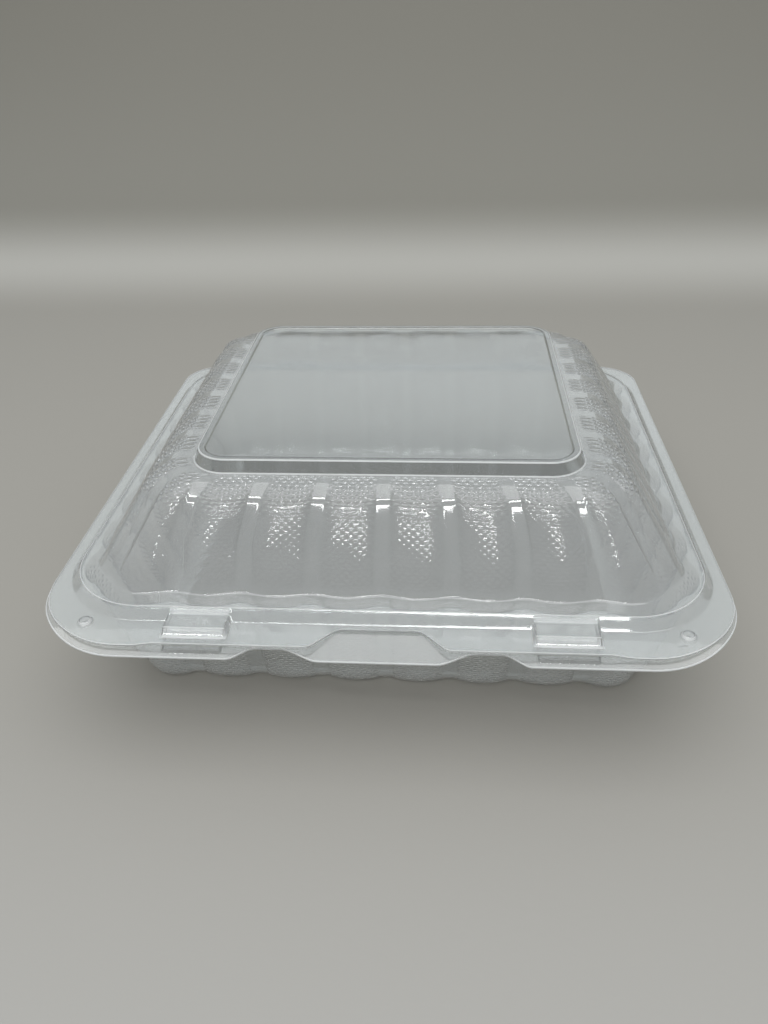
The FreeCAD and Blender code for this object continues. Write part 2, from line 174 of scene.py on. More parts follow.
def rounded(bends: list[Bend]) -> Profile:
    """Round the corners of a profile.

    Args:
        bends: the corners, in order from the outside inwards.

    Returns:
        Points along the rounded profile, each with whether the strip after it gets the painted
        white highlight.
    """
    spots = [np.array((bend.inset, bend.level)) for bend in bends]
    points, painted_highlight = [spots[0]], [False]
    for index in range(1, len(bends)):
        bend, here = bends[index], spots[index]
        arrive = (here - spots[index - 1]) / np.linalg.norm(here - spots[index - 1])
        if index + 1 == len(bends) or bend.radius == 0:
            first, arc = here, []
        else:
            leave = (spots[index + 1] - here) / np.linalg.norm(spots[index + 1] - here)
            turn = math.acos(max(-1.0, min(1.0, float(arrive @ leave))))
            reach = bend.radius * math.tan(turn / 2)
            first, last = here - arrive * reach, here + leave * reach
            shares = [step / bend.steps for step in range(1, bend.steps + 1)]
            arc = [(1 - t) ** 2 * first + 2 * t * (1 - t) * here + t * t * last for t in shares]
        start = points[-1]
        points += [start + (first - start) * cut / bend.cuts for cut in range(1, bend.cuts + 1)]
        points += arc
        painted_highlight += [False] * (bend.cuts - 1) + [bend.painted_highlight] * len(arc) + [False]
    return [(float(point[0]), float(point[1]), mark) for point, mark in zip(points, painted_highlight)]


@dataclass(frozen=True)
class Loop:
    """A rounded rectangle in plan."""

    half_x: float
    front: float
    rear: float
    front_round: float
    rear_round: float

    def inset(self, distance: float) -> "Loop":
        """Give the loop that lies this far inside."""
        return Loop(self.half_x - distance, self.front + distance, self.rear - distance,
                    self.front_round - distance, self.rear_round - distance)

    def rounding(self, radius: float) -> "Loop":
        """Give the same rectangle with another corner radius."""
        return Loop(self.half_x, self.front, self.rear, radius, radius)


@dataclass(frozen=True)
class Column:
    """One column of the grid: on a side by its place along it, or in a corner.

    In a corner, fixed is the distance in millimetres from the diagonal, and share is the part of
    what is left of that half of the corner.
    """

    side: Side
    along: float = 0.0
    corner: bool = False
    fixed: float = 0.0
    share: float = 0.0


@dataclass
class Row:
    """One row of the grid: a value for each column."""

    x: np.ndarray
    y: np.ndarray
    z: np.ndarray
    out_x: np.ndarray
    out_y: np.ndarray
    gap: np.ndarray
    span: np.ndarray
    run: np.ndarray
    swell: float = 0.0
    soften: float = 0.0
    grain: float = 0.0
    skin: np.ndarray | None = None

    def paint(self, skin: Skin, where: np.ndarray | bool = True) -> None:
        """Give the strip after this row a finish, on all columns or where it is asked for."""
        if self.skin is None:
            self.skin = np.zeros(len(self.x), np.int32)
        self.skin[np.broadcast_to(where, self.skin.shape)] = skin


@dataclass(frozen=True)
class Flutes:
    """The ribs round both halves and the columns of the grid that they ask for."""

    count: int = 7
    rib_width: float = 4.6
    front_pitch: float = 23.0
    side_pitch: float = 22.0
    depth: float = 2.0
    step: float = 0.4
    step_width: float = 0.7
    panel_cuts: int = 8
    corner_cuts: int = 14
    middle: float = 4.8

    def pitch(self, side: Side) -> float:
        """Give the rib spacing on a side."""
        return self.front_pitch if side.crosswise else self.side_pitch

    def last_rib(self, side: Side) -> float:
        """Give the distance from the middle of a side to its end rib."""
        return (self.count - 1) / 2 * self.pitch(side)

    def reach(self, side: Side) -> float:
        """Give the distance from the middle of a side to the far edge of its end rib."""
        return self.last_rib(side) + self.rib_width / 2

    def along(self, side: Side, extra: list[float]) -> list[float]:
        """Give the columns of a side.

        Args:
            side: which side.
            extra: places that need a column of their own.

        Returns:
            Sorted places along the side.
        """
        half, pitch = self.rib_width / 2, self.pitch(side)
        places: list[float] = []
        for index in range(self.count):
            rib = index * pitch - self.last_rib(side)
            places += [rib - half, rib - half / 2, rib, rib + half / 2, rib + half]
            if index + 1 < self.count:
                first, last = rib + half + self.step_width, rib + pitch - half - self.step_width
                places += [first - self.step_width / 2, last + self.step_width / 2]
                places += [first + (last - first) * cut / self.panel_cuts
                           for cut in range(self.panel_cuts + 1)]
        places = [place for place in places
                  if all(abs(place - other) > 0.32 for other in extra)]
        return sorted(places + extra)

    def columns(self, extra: list[float]) -> list[Column]:
        """Give all columns, anticlockwise from the left end of the front.

        Args:
            extra: places on the front that need a column of their own.

        Returns:
            The columns of all sides and corners.
        """
        half = self.rib_width / 2
        found: list[Column] = []
        for side in Side:
            own = extra if side is Side.FRONT else []
            found += [Column(side, along=place) for place in self.along(side, own)]
            shares = [1 - cut / self.corner_cuts for cut in range(1, self.corner_cuts)] + [0.035]
            found += [Column(side, corner=True, fixed=-half, share=-share) for share in shares]
            found += [Column(side, corner=True, fixed=half * part)
                      for part in (-1, -0.5, 0, 0.5, 1)]
            found += [Column(side, corner=True, fixed=half, share=share)
                      for share in reversed(shares)]
        return found


FLUTES = Flutes()


@dataclass
class SheetShell:
    """What both halves share: the grid, its mesh, and the way from one skin to a closed sheet."""

    half: Half
    name: str
    node: str
    body: str
    thickness: float = 0.45
    columns: list[Column] = field(default_factory=list)
    rows: list[Row] = field(default_factory=list)
    front: float = 0.0
    rear: float = 111.4
    sheet: float = 0.5
    half_width: float = 115.0
    corners: tuple[float, float] = (31.0, 18.0)
    foot_half: float = 111.0
    foot_rear: float = 107.6
    foot_corner: float = 31.0
    pip_across: float = 96.3
    pip_y: float = -99.0
    pip_hole: float = 3.6
    pip_steps: int = 32

    def corner(self, side: Side, loop: Loop) -> np.ndarray:
        """Give the sharp corner after a side."""
        return np.array((loop.half_x if side in (Side.FRONT, Side.RIGHT) else -loop.half_x,
                         loop.front if side in (Side.FRONT, Side.LEFT) else loop.rear))

    def spread(self, side: Side, loop: Loop) -> float:
        """Give how far the ribs of a side must close up on a loop, 1 where they needn't."""
        if side.crosswise:
            room = loop.half_x - max(loop.front_round, loop.rear_round)
        else:
            room = min(FLUTES.middle - loop.front - loop.front_round,
                       loop.rear - FLUTES.middle - loop.rear_round)
        return min(1.0, room / FLUTES.reach(side))

    def spot(self, side: Side, loop: Loop, place: float) -> np.ndarray:
        """Give the point of a side at a distance from its middle.

        Args:
            side: which side.
            loop: the rounded rectangle.
            place: the distance, anticlockwise.

        Returns:
            The point in plan.
        """
        base = ((0.0, loop.front), (loop.half_x, FLUTES.middle), (0.0, loop.rear),
                (-loop.half_x, FLUTES.middle))[side.value]
        return np.array(base) + side.way * place

    def end_of(self, side: Side, loop: Loop, sign: int) -> np.ndarray:
        """Give the point of a loop where the straight columns of a side end."""
        return self.spot(side, loop, sign * FLUTES.reach(side) * self.spread(side, loop))

    def ring(self, loop: Loop, level: float) -> Row:
        """Lay all columns out on a loop.

        Args:
            loop: the rounded rectangle.
            level: its height over the plane where the flanges meet.

        Returns:
            The row, with each column's distance from the nearest rib.
        """
        values = np.zeros((len(self.columns), 7))
        for index, column in enumerate(self.columns):
            if column.corner:
                values[index] = self.in_corner(column, loop)
                continue
            side, spread = column.side, self.spread(column.side, loop)
            pitch, place = FLUTES.pitch(side) * spread, column.along * spread
            share = (column.along + FLUTES.last_rib(side)) / FLUTES.pitch(side)
            gap = abs(share - round(min(FLUTES.count - 1, max(0, share)))) * pitch
            past = abs(column.along) > FLUTES.last_rib(side)
            span = self.corner_length(side, loop, column.along > 0) if past else pitch
            values[index] = (*self.spot(side, loop, place), *side.out, gap, span / 2, place)
        return Row(*values[:, :2].T, np.full(len(values), level), *values[:, 2:].T)

    def corner_parts(self, side: Side, loop: Loop) -> tuple[float, float, float, float]:
        """Measure the corner after a side.

        Args:
            side: the side before the corner.
            loop: the rounded rectangle.

        Returns:
            Radius, the lengths of the two straight parts, and half the arc.
        """
        corner, following = self.corner(side, loop), side.following
        radius = loop.front_round if side in (Side.FRONT, Side.LEFT) else loop.rear_round
        first = float(np.abs((corner - self.end_of(side, loop, 1)) @ side.way)) - radius
        second = float(np.abs((self.end_of(following, loop, -1) - corner) @ following.way)) - radius
        return radius, first, second, radius * math.pi / 4

    def corner_length(self, side: Side, loop: Loop, after: bool) -> float:
        """Give the distance from the end rib of a side to the diagonal rib.

        Args:
            side: which side.
            loop: the rounded rectangle.
            after: whether the diagonal rib after the side is meant, or the one before it.

        Returns:
            The distance along the loop.
        """
        at = side if after else Side((side.value - 1) % 4)
        _, first, second, arc = self.corner_parts(at, loop)
        rib = FLUTES.rib_width / 2 * self.spread(side, loop)
        return (first if after else second) + arc + rib

    def in_corner(self, column: Column, loop: Loop) -> tuple[float, ...]:
        """Place one corner column on a loop.

        Args:
            column: the column.
            loop: the rounded rectangle.

        Returns:
            Its values in the order of a row's, without the height.
        """
        side, following = column.side, column.side.following
        corner, into, out_of = self.corner(side, loop), side.way, following.way
        radius, first, second, arc = self.corner_parts(side, loop)
        before = column.fixed < 0 or column.share < 0
        straight = first if before else second
        half = straight + arc
        distance = column.fixed + column.share * (half - FLUTES.rib_width / 2)
        walked = half - abs(distance)
        if walked < straight:
            out = -out_of if before else into
            base = (self.end_of(side, loop, 1) + into * walked if before
                    else self.end_of(following, loop, -1) - out_of * walked)
        else:
            angle = (walked - straight) / radius if radius > 0 else math.pi / 4
            angle = angle if before else math.pi / 2 - angle
            out = into * math.sin(angle) - out_of * math.cos(angle)
            base = corner - into * radius + out_of * radius + out * radius
        total = self.corner_length(side if before else following, loop, before)
        gap = min(abs(distance), total - abs(distance))
        return (*base, *out, gap, total / 2, distance)

    def between(self, outer: Row, inner: Row, share: float) -> Row:
        """Give the row that lies part of the way from one row to another.

        Args:
            outer: the first row.
            inner: the second row.
            share: how far along.

        Returns:
            The row between, without finish or flutes.
        """
        mixed = [(1 - share) * getattr(outer, name) + share * getattr(inner, name)
                 for name in ("x", "y", "z", "out_x", "out_y", "gap", "span", "run")]
        return Row(*mixed)

    def foot(self, front: float) -> Loop:
        """Give the loop where the bead starts."""
        return Loop(self.foot_half, front, self.foot_rear, self.foot_corner, self.foot_corner)

    def lay_out(self, places: list[float], set_back: Callable[[float], float],
                level: float) -> Row:
        """Set the columns and give the row of the cut edge.

        Args:
            places: where the right half of the front needs a column, as does the left.
            set_back: how far the edge lies behind the front at a place along it.
            level: the edge's height over the plane where the flanges meet.

        Returns:
            The row.
        """
        self.columns = FLUTES.columns(sorted([sign * place for place in places
                                              for sign in (-1, 1)]))
        row = self.ring(Loop(self.half_width, self.front, self.rear, *self.corners), level)
        row.y = row.y + np.array([
            0.0 if column.corner or column.side is not Side.FRONT else set_back(column.along)
            for column in self.columns])
        return row

    def close_in(self, shares: tuple[float, ...], middle: float, crown: float = 0.0) -> None:
        """Add rows that shrink the last one towards the middle.

        Args:
            shares: the size of each row.
            middle: where the rows shrink to, front to back.
            crown: how high the sheet domes up there.
        """
        outer = self.rows[-1]
        for share in shares:
            row = self.between(outer, outer, 0.0)
            row.x = outer.x * share
            row.y = middle + (outer.y - middle) * share
            row.z = outer.z + crown * (1 - share ** 2)
            self.rows.append(row)

    def grid_mesh(self, centre: Triple) -> bpy.types.Mesh:
        """Make the one-skin mesh of the grid, closed in the middle.

        Args:
            centre: the point that closes the innermost row.

        Returns:
            The mesh, with its map and the values that flutes and grain read.
        """
        count, depth, flip = len(self.columns), len(self.rows), self.half.value
        points = [np.column_stack((row.x, row.y, row.z + LEVEL)) for row in self.rows]
        verts = np.vstack(points + [np.array([centre])]) * MM
        ahead = [*range(1, count), 0]
        faces: list[tuple[int, ...]] = []
        for low in range(0, (depth - 1) * count, count):
            high = low + count
            faces += [(low + index, low + after, high + after, high + index)[::flip]
                      for index, after in enumerate(ahead)]
        last = (depth - 1) * count
        faces += [(last + index, last + after, depth * count)[::flip]
                  for index, after in enumerate(ahead)]
        mesh = bpy.data.meshes.new(self.name)
        mesh.from_pydata(verts.tolist(), [], faces)
        self.write_values(mesh)
        self.write_map(mesh, faces)
        return mesh

    def write_values(self, mesh: bpy.types.Mesh) -> None:
        """Store on each point what the flutes and the finish read."""
        def values(name: str) -> np.ndarray:
            rings = [np.broadcast_to(getattr(row, name), len(self.columns)) for row in self.rows]
            return np.concatenate(rings + [np.zeros(1)])

        gap = values("gap")
        panel = np.clip((gap - FLUTES.rib_width / 2) / FLUTES.step_width, 0, 1)
        for name, stored in (("rib_gap", gap * MM), ("half_span", values("span") * MM),
                             ("swell", values("swell")), ("soften", values("soften")),
                             ("grain", values("grain") * panel)):
            layer = mesh.attributes.new(name, "FLOAT", "POINT")
            layer.data.foreach_set("value", stored.astype(np.float32))
        outward = np.zeros((len(mesh.vertices), 3), np.float32)
        outward[:, 0], outward[:, 1] = values("out_x"), values("out_y")
        layer = mesh.attributes.new("outward", "FLOAT_VECTOR", "POINT")
        layer.data.foreach_set("vector", outward.ravel())
        layer = mesh.attributes.new("skin", "INT", "FACE")
        count = len(self.columns)
        # The outermost strip of the top skin gets the cut-edge finish too: the edge is rough, and
        # its white is partly painted light for the glow along the edge.
        self.rows[0].paint(Skin.CUT)
        skins = np.zeros(len(mesh.polygons), np.int32)
        for level, row in enumerate(self.rows[:-1]):
            if row.skin is not None:
                skins[level * count:(level + 1) * count] = row.skin
        layer.data.foreach_set("value", skins)

    def write_map(self, mesh: bpy.types.Mesh, faces: list[tuple[int, ...]]) -> None:
        """Lay the sheet out flat: along the rim by the distance from a rib, and down the profile.

        Args:
            mesh: the one-skin mesh.
            faces: its faces, each a ring of vertex numbers.
        """
        count = len(self.columns)
        middle = count // 8
        down = [0.0]
        for outer, inner in zip(self.rows, self.rows[1:]):
            step = [getattr(inner, name)[middle] - getattr(outer, name)[middle] for name in "xyz"]
            down.append(down[-1] + math.hypot(*step))
        layer = mesh.uv_layers.new(name="flat")
        spots: list[float] = []
        for face in faces:
            columns = [vertex % count for vertex in face if vertex < count * len(self.rows)]
            in_corner = any(self.columns[index].corner for index in columns)
            for vertex in face:
                row, index = divmod(vertex, count)
                if row >= len(self.rows):
                    spots += [0.0, down[-1] * MM]
                    continue
                column = self.columns[index]
                run = self.rows[row].run[index]
                if in_corner and not column.corner:
                    run = math.copysign(2 * self.rows[row].span[index] - abs(
                        self.rows[row].gap[index]), -column.along)
                spots += [run * MM, down[row] * MM]
        layer.data.foreach_set("uv", spots)

    def level_at(self, x: float, y: float) -> float:
        """Give the height of the flange's outer skin; each half has its own."""
        raise NotImplementedError

    def build_rows(self) -> Triple:
        """Lay out all rows and give the point that closes the last; each half has its own."""
        raise NotImplementedError

    def build(self, finishes: dict[Skin, bpy.types.Material],
              tree: "FluteTree") -> bpy.types.Object:
        """Make the half.

        Args:
            finishes: the material of each finish.
            tree: the nodes that press the flutes in.

        Returns:
            The finished piece.
        """
        mesh = self.grid_mesh(self.build_rows())
        self.set_pips(mesh)
        return self.dress(mesh, finishes, tree)

    def set_pips(self, mesh: bpy.types.Mesh) -> None:
        """Form the small round pip in each front corner.

        Args:
            mesh: the one-skin mesh, which is changed.
        """
        sign, steps = self.half.value, self.pip_steps
        profile = ((3.1, 0.0), (2.6, 0.02), (2.3, 0.14), (2.1, 0.42), (1.85, 0.76), (1.45, 0.97),
                   (0.9, 0.86), (0.4, 0.75))
        work = bmesh.new()
        work.from_mesh(mesh)
        skins = work.faces.layers.int["skin"]
        for across in (-self.pip_across, self.pip_across):
            centre = Vector((across * MM, self.pip_y * MM, 0))
            hit = [face for face in work.faces if face.calc_center_median().z > 0.03
                   and min((vertex.co.xy - centre.xy).length for vertex in face.verts)
                   < self.pip_hole * MM]
            around = {vertex for face in hit for vertex in face.verts}
            bmesh.ops.delete(work, geom=hit, context="FACES_KEEP_BOUNDARY")
            around = {vertex for vertex in around if vertex.is_valid}
            rings = []
            for radius, height in profile:
                spots = [(across + radius * math.cos(2 * math.pi * step / steps),
                          self.pip_y + radius * math.sin(2 * math.pi * step / steps))
                         for step in range(steps)]
                rings.append([work.verts.new(Vector((x, y, self.level_at(x, y) + height + LEVEL))
                                             * MM) for x, y in spots])
            top = work.verts.new(Vector((across, self.pip_y, rings[-1][0].co.z / MM)) * MM)
            for outer, inner in zip(rings, rings[1:]):
                for step in range(steps):
                    after = (step + 1) % steps
                    quad = (outer[step], outer[after], inner[after], inner[step])
                    face = work.faces.new(quad[::sign])
                    # Painted highlight: two rings round the pip's side are painted white in place
                    # of the ring of light it catches.
                    face[skins] = Skin.BEND if outer in rings[2:4] else Skin.RIM
            for step in range(steps):
                fan = (rings[-1][step], rings[-1][(step + 1) % steps], top)
                work.faces.new(fan[::sign])[skins] = Skin.RIM
            around |= set(rings[0])
            rim = [edge for edge in work.edges if edge.is_boundary
                   and edge.verts[0] in around and edge.verts[1] in around]
            for face in bmesh.ops.bridge_loops(work, edges=rim)["faces"]:
                face[skins] = Skin.RIM
        bmesh.ops.recalc_face_normals(work, faces=work.faces[:])
        highest = max(work.faces, key=lambda face: sign * face.calc_center_median().z)
        if highest.normal.z * sign < 0:
            bmesh.ops.reverse_faces(work, faces=work.faces[:])
        work.to_mesh(mesh)
        work.free()

    def dress(self, mesh: bpy.types.Mesh, finishes: dict[Skin, bpy.types.Material],
              tree: "FluteTree") -> bpy.types.Object:
        """Flute the skin, give it its thickness and hang it on its body.

        Args:
            mesh: the one-skin mesh.
            finishes: the material of each finish.
            tree: the nodes that press the flutes in.

        Returns:
            The finished piece.
        """
        draft = placed(f"{self.name}_draft", mesh)
        for skin in Skin:
            mesh.materials.append(finishes[skin])
        mesh.shade_smooth()
        tree.add_to(draft, finishes[Skin.SHEET], FLUTES)
        wall = draft.modifiers.new("thickness", "SOLIDIFY")
        wall.thickness = self.thickness * MM
        wall.offset = -1
        wall.material_offset = Skin.INSIDE
        wall.material_offset_rim = Skin.CUT
        bpy.context.view_layer.update()
        ready = draft.evaluated_get(bpy.context.evaluated_depsgraph_get())
        final = bpy.data.meshes.new_from_object(ready)
        final.name = self.name
        bpy.data.objects.remove(draft)
        fold = max(vertex.co.y for vertex in final.vertices) - 0.6 * MM
        for face, skin in zip(final.polygons, final.attributes["skin"].data):
            if face.center.y > fold:
                face.material_index = min(face.material_index, Skin.INSIDE)
            elif skin.value == Skin.CUT or face.material_index == Skin.SHEET:
                face.material_index = skin.value
        for name in ("rib_gap", "half_span", "swell", "soften", "outward", "skin"):
            final.attributes.remove(final.attributes[name])
        final.set_sharp_from_angle(angle=math.radians(50))
        piece = placed(self.name, final)
        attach(piece, self.body)
        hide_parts(self.node)
        LOG.info("%s: %d faces on %s", self.name, len(final.polygons), self.body)
        return piece


@dataclass
class LidShell(SheetShell):
    """The lid: flange with its finger notch, bead, latch blocks, pips, dome and top panel."""

    half: Half = Half.LID
    name: str = "lid_shell"
    node: str = "lid"
    body: str = "lid"
    front: float = -108.6
    bead_front: float = 10.6
    rim_ends: float = 10.0
    swell_in: tuple[float, float] = (4.3, 8.5)
    swell_out: tuple[float, float] = (29.5, 36.2)
    soft_foot: tuple[float, float] = (4.5, 13.0)
    grain_in: tuple[float, float] = (26.5, 29.5)
    grain_ends: tuple[float, float] = (5.2, 37.2)
    wall_grain: float = 0.06
    notch_mouth: float = 21.6
    notch_root: float = 13.3
    notch_depth: float = 8.6
    latch: tuple[float, float] = (48.5, 69.2)
    latch_crest: float = 5.5
    latch_toe: float = 3.0
    latch_height: float = 2.6
    latch_step: float = 0.9
    block_ends: float = -90.0
    droop: float = 1.15
    droop_from: float = -99.6
    droop_in: tuple[float, float] = (70.5, 79.0)
    plateau: float = 34.0
    crown_step: float = 4.5
    panel_drop: float = 0.7
    panel_crown: float = 0.25
    panel_middle: float = 5.6

    def notch(self, x: float) -> float:
        """Give how far the finger notch sets the edge back at x."""
        slope = self.notch_mouth - self.notch_root
        return self.notch_depth * soft_ramp((self.notch_mouth - abs(x)) / slope)

    def block(self, x: float, y: float) -> float:
        """Give the height of the latch blocks over the meeting plane, or the flange where none is.

        Args:
            x: place across the pack.
            y: place front to back.

        Returns:
            The height of the top skin, before the corners droop.
        """
        back = y - self.front
        inner, outer = self.latch
        side = (smooth(inner - 0.3, inner + 0.4, abs(x))
                * (1 - smooth(outer - 0.4, outer + 0.3, abs(x))))
        slope = (self.latch_height - self.latch_step) / (self.latch_crest - self.latch_toe)
        top = min(self.latch_height, self.latch_step + (back - self.latch_toe) * slope)
        rise = smooth(self.latch_toe - 0.3, self.latch_toe + 0.15, back)
        return self.sheet + (top - self.sheet) * side * rise

    def level_at(self, x: float, y: float) -> float:
        """Give the height of the flange's top skin."""
        past = max(0.0, self.droop_from - y) / (self.droop_from - self.front)
        sag = self.droop * past ** 1.6 * smooth(*self.droop_in, abs(x))
        return self.block(x, y) - sag

    def build_rows(self) -> Triple:
        """Lay out all rows, from the cut edge to the middle of the top panel."""
        edges = [edge + step for edge in self.latch for step in (-0.6, -0.3, -0.1, 0.15, 0.4, 0.8)]
        ends = [11.3, 12.3, 13.3, 14.4, 15.8, 17.4, 19.0, 20.3, 21.4, 22.4, 23.6]
        outline = self.lay_out(edges + ends, self.notch, self.sheet)
        foot = self.foot(self.front + self.bead_front)
        # The bead's ridge is painted white: a painted highlight.
        bends = [Bend(-0.7, self.sheet), Bend(0.0, self.sheet, 0.5, 3),
                 Bend(3.4, 4.0, 0.5, 3, 2, painted_highlight=True),
                 Bend(10.7, 4.0, 1.3, 4, 3), Bend(31.24, self.plateau, 12.5, 10, 7),
                 Bend(37.4, self.plateau)]
        profile = rounded(bends)
        start = self.ring(foot.inset(profile[0][0]), self.sheet)
        backs = (0, 0.35, 0.8, 1.6, 2.4, 2.7, 2.95, 3.2, 4.2, 5.0, 5.35, 5.65, 6.6, 7.6, 8.6, 9.4)
        along = np.array([column.along if column.side is Side.FRONT and not column.corner else 0.0
                          for column in self.columns])
        middle = (along + np.roll(along, -1)) / 2
        on_top = (np.abs(middle) > self.latch[0]) & (np.abs(middle) < self.latch[1])
        flank_highlights = np.any([np.abs(np.abs(middle) - edge) < 0.3 for edge in self.latch], axis=0)
        for back in backs:
            row = self.between(outline, start, back / (self.bead_front + profile[0][0]))
            row.z = np.array([self.level_at(x, y) for x, y in zip(row.x, row.y)])
            row.paint(Skin.RIM)
            # Painted highlights: white lines along the latch blocks' toe and crest and down their
            # flanks, where their edges would catch light.
            row.paint(Skin.BEND, on_top & (back in (2.7, 2.95, 5.35)) | flank_highlights & (back > 2.5))
            self.rows.append(row)
        for inset, level, painted_highlight in profile[:-2]:
            row = self.ring(self.wall_loop(foot, inset), level)
            skin = Skin.RIM if inset < self.rim_ends else Skin.WALL
            # Strips marked as painted highlight get the white finish.
            row.paint(Skin.BEND if painted_highlight else skin)
            row.z = np.array([max(level, self.block(x, y)) if y < self.block_ends else level
                              for x, y in zip(row.x, row.y)])
            row.swell = smooth(*self.swell_in, inset) * (1 - smooth(*self.swell_out, inset))
            row.soften = 1 - smooth(*self.soft_foot, level)
            if level > self.grain_ends[0] and inset < self.grain_ends[1]:
                share = smooth(*self.grain_in, inset)
                row.grain = self.wall_grain + (1 - self.wall_grain) * share
            self.rows.append(row)
        return self.build_crown()

    def wall_loop(self, foot: Loop, inset: float) -> Loop:
        """Give the loop of the dome at an inset, with its corner radius.

        Args:
            foot: the loop where the bead starts.
            inset: how far inside it.

        Returns:
            The loop.
        """
        if inset <= 3.6:
            return foot.inset(inset)
        radius = float(np.interp(inset, (3.6, 10.7, 36.5), (27.4, 23.0, 13.0)))
        return foot.inset(inset).rounding(radius)

    def build_crown(self) -> Triple:
        """Lay out the step, the narrow rim and the top panel, and give the panel's middle."""
        foot = Loop(68.0, -59.9, 71.1, 13.0, 13.0)
        top = self.plateau + self.crown_step
        panel = top - self.panel_drop
        # The step's foot and the rim's outer edge are painted white: painted highlights.
        bends = [Bend(-0.45, self.plateau), Bend(0.0, self.plateau, 0.55, 3, painted_highlight=True),
                 Bend(1.8, top, 0.6, 3, 2, painted_highlight=True), Bend(4.1, top, 0.5, 3, 2),
                 Bend(4.6, panel, 0.5, 3), Bend(7.0, panel)]
        for inset, level, painted_highlight in rounded(bends):
            row = self.ring(foot.inset(inset), level)
            if painted_highlight:
                row.paint(Skin.BEND)
            self.rows.append(row)
        self.close_in((0.93, 0.8, 0.6, 0.35, 0.12), self.panel_middle, self.panel_crown)
        return 0.0, self.panel_middle, LEVEL + panel + self.panel_crown


@dataclass
class TrayShell(SheetShell):
    """The tray: flange, lip with its tab and recesses, bead, latch blocks, pips, walls, floor."""

    half: Half = Half.TRAY
    name: str = "tray_shell"
    node: str = "base_tray"
    body: str = "base"
    front: float = -111.4
    bend: float = -99.6
    fall: float = 0.2373
    lid_front: float = -108.6
    bead_front: float = -98.0
    block_sides: tuple[float, float] = (49.8, 67.9)
    block_ends: float = -92.0
    recess_depth: float = 4.2
    bead_ends: float = 6.0
    swell_in: tuple[float, float] = (4.0, 5.6)
    swell_out: tuple[float, float] = (-41.0, -42.0)
    grain_ends: tuple[float, float] = (-41.4, 0.5)
    wall_grain: float = 0.3

    def recess(self, x: float) -> float:
        """Give how far the lip edge is set back at x."""
        tab, end = soft_ramp((abs(x) - 20.0) / 9.0), soft_ramp((abs(x) - 40.0) / 6.5)
        return self.recess_depth * tab * (1 - end)

    def lip(self, y: float) -> float:
        """Give the height of the under side of flange and lip, with a soft bend."""
        past = self.bend - y
        soft = max(0.0, (past + 1.2)) ** 2 / 4.8 if past < 1.2 else past
        return -self.sheet - self.fall * soft

    def level_at(self, x: float, y: float) -> float:
        """Give the height of the flange's under skin, with the hollows of the latch blocks.

        Args:
            x: place across the pack.
            y: place front to back.

        Returns:
            The height over the plane where the flanges meet.
        """
        back = y - self.lid_front
        inner, outer = self.block_sides
        side = (smooth(inner - 0.4, inner + 0.3, abs(x))
                * (1 - smooth(outer - 0.3, outer + 0.4, abs(x))))
        heights = ((-0.8, self.lip(y)), (-0.45, -1.67), (4.05, -0.8), (4.35, -0.4), (6.05, 1.3),
                   (13.6, 1.3))
        hollow = float(np.interp(back, *zip(*heights)))
        flat = self.lip(y)
        return flat + max(0.0, hollow - flat) * side if back > -0.8 else flat

    def build_rows(self) -> Triple:
        """Lay out all rows, from the cut edge to the middle of the floor."""
        edges = [edge + step for edge in self.block_sides for step in (-0.6, -0.3, -0.1, 0.15, 0.4)]
        ends = [18.2, 19.3, 20.6, 22.3, 24.3, 26.4, 28.2, 29.6, 31.0, 38.4, 39.4, 40.4, 41.6, 43.0,
                44.6, 45.9, 47.2]
        outline = self.lay_out(edges + ends, self.recess, -self.sheet)
        foot = self.foot(self.bead_front)
        bends = [Bend(0.2, -0.5), Bend(0.84, -0.5, 1.0, 3), Bend(3.95, 2.7, 0.7, 3, 2),
                 Bend(6.75, 2.7, 0.5, 3, 2), Bend(18.7, -42.0, 8.0, 9, 13), Bend(30.0, -42.0)]
        profile = rounded(bends)
        start = self.ring(foot.inset(profile[0][0]), -self.sheet)
        width = self.bead_front + profile[0][0] - self.front
        backs = (-2.8, -2.3, -1.6, -1.0, -0.75, -0.45, 0.6, 1.8, 3.0, 3.9, 4.1, 4.35, 5.0, 5.6,
                 6.1, 6.8, 7.6, 8.2, 8.8, 9.3, 9.9)
        for back in backs:
            row = self.between(outline, start, (back + 2.8) / width)
            row.z = np.array([self.level_at(x, y) for x, y in zip(row.x, row.y)])
            row.paint(Skin.RIM)
            self.rows.append(row)
        for inset, level, _ in profile:
            row = self.ring(self.wall_loop(foot, inset), level)
            row.z = np.array([max(level, self.level_at(x, y)) if y < self.block_ends else level
                              for x, y in zip(row.x, row.y)])
            row.swell = smooth(*self.swell_in, inset) * (1 - smooth(*self.swell_out, level))
            on_wall = self.grain_ends[0] < level < self.grain_ends[1] and inset > self.bead_ends
            row.grain = self.wall_grain if on_wall else 0.0
            row.paint(Skin.WALL)
            self.rows.append(row)
        self.close_in((0.9, 0.75, 0.5, 0.25, 0.08), FLUTES.middle)
        return 0.0, FLUTES.middle, 0.0

    def wall_loop(self, foot: Loop, inset: float) -> Loop:
        """Give the loop of the tray at an inset, with its corner radius.

        Args:
            foot: the loop where the bead starts.
            inset: how far inside it.

        Returns:
            The loop.
        """
        radius = float(np.interp(inset, (0.0, 3.95, 6.8, 24.98, 30.0),
                                 (31.0, 27.0, 24.0, 8.0, 4.0)))
        return foot.inset(inset).rounding(radius)


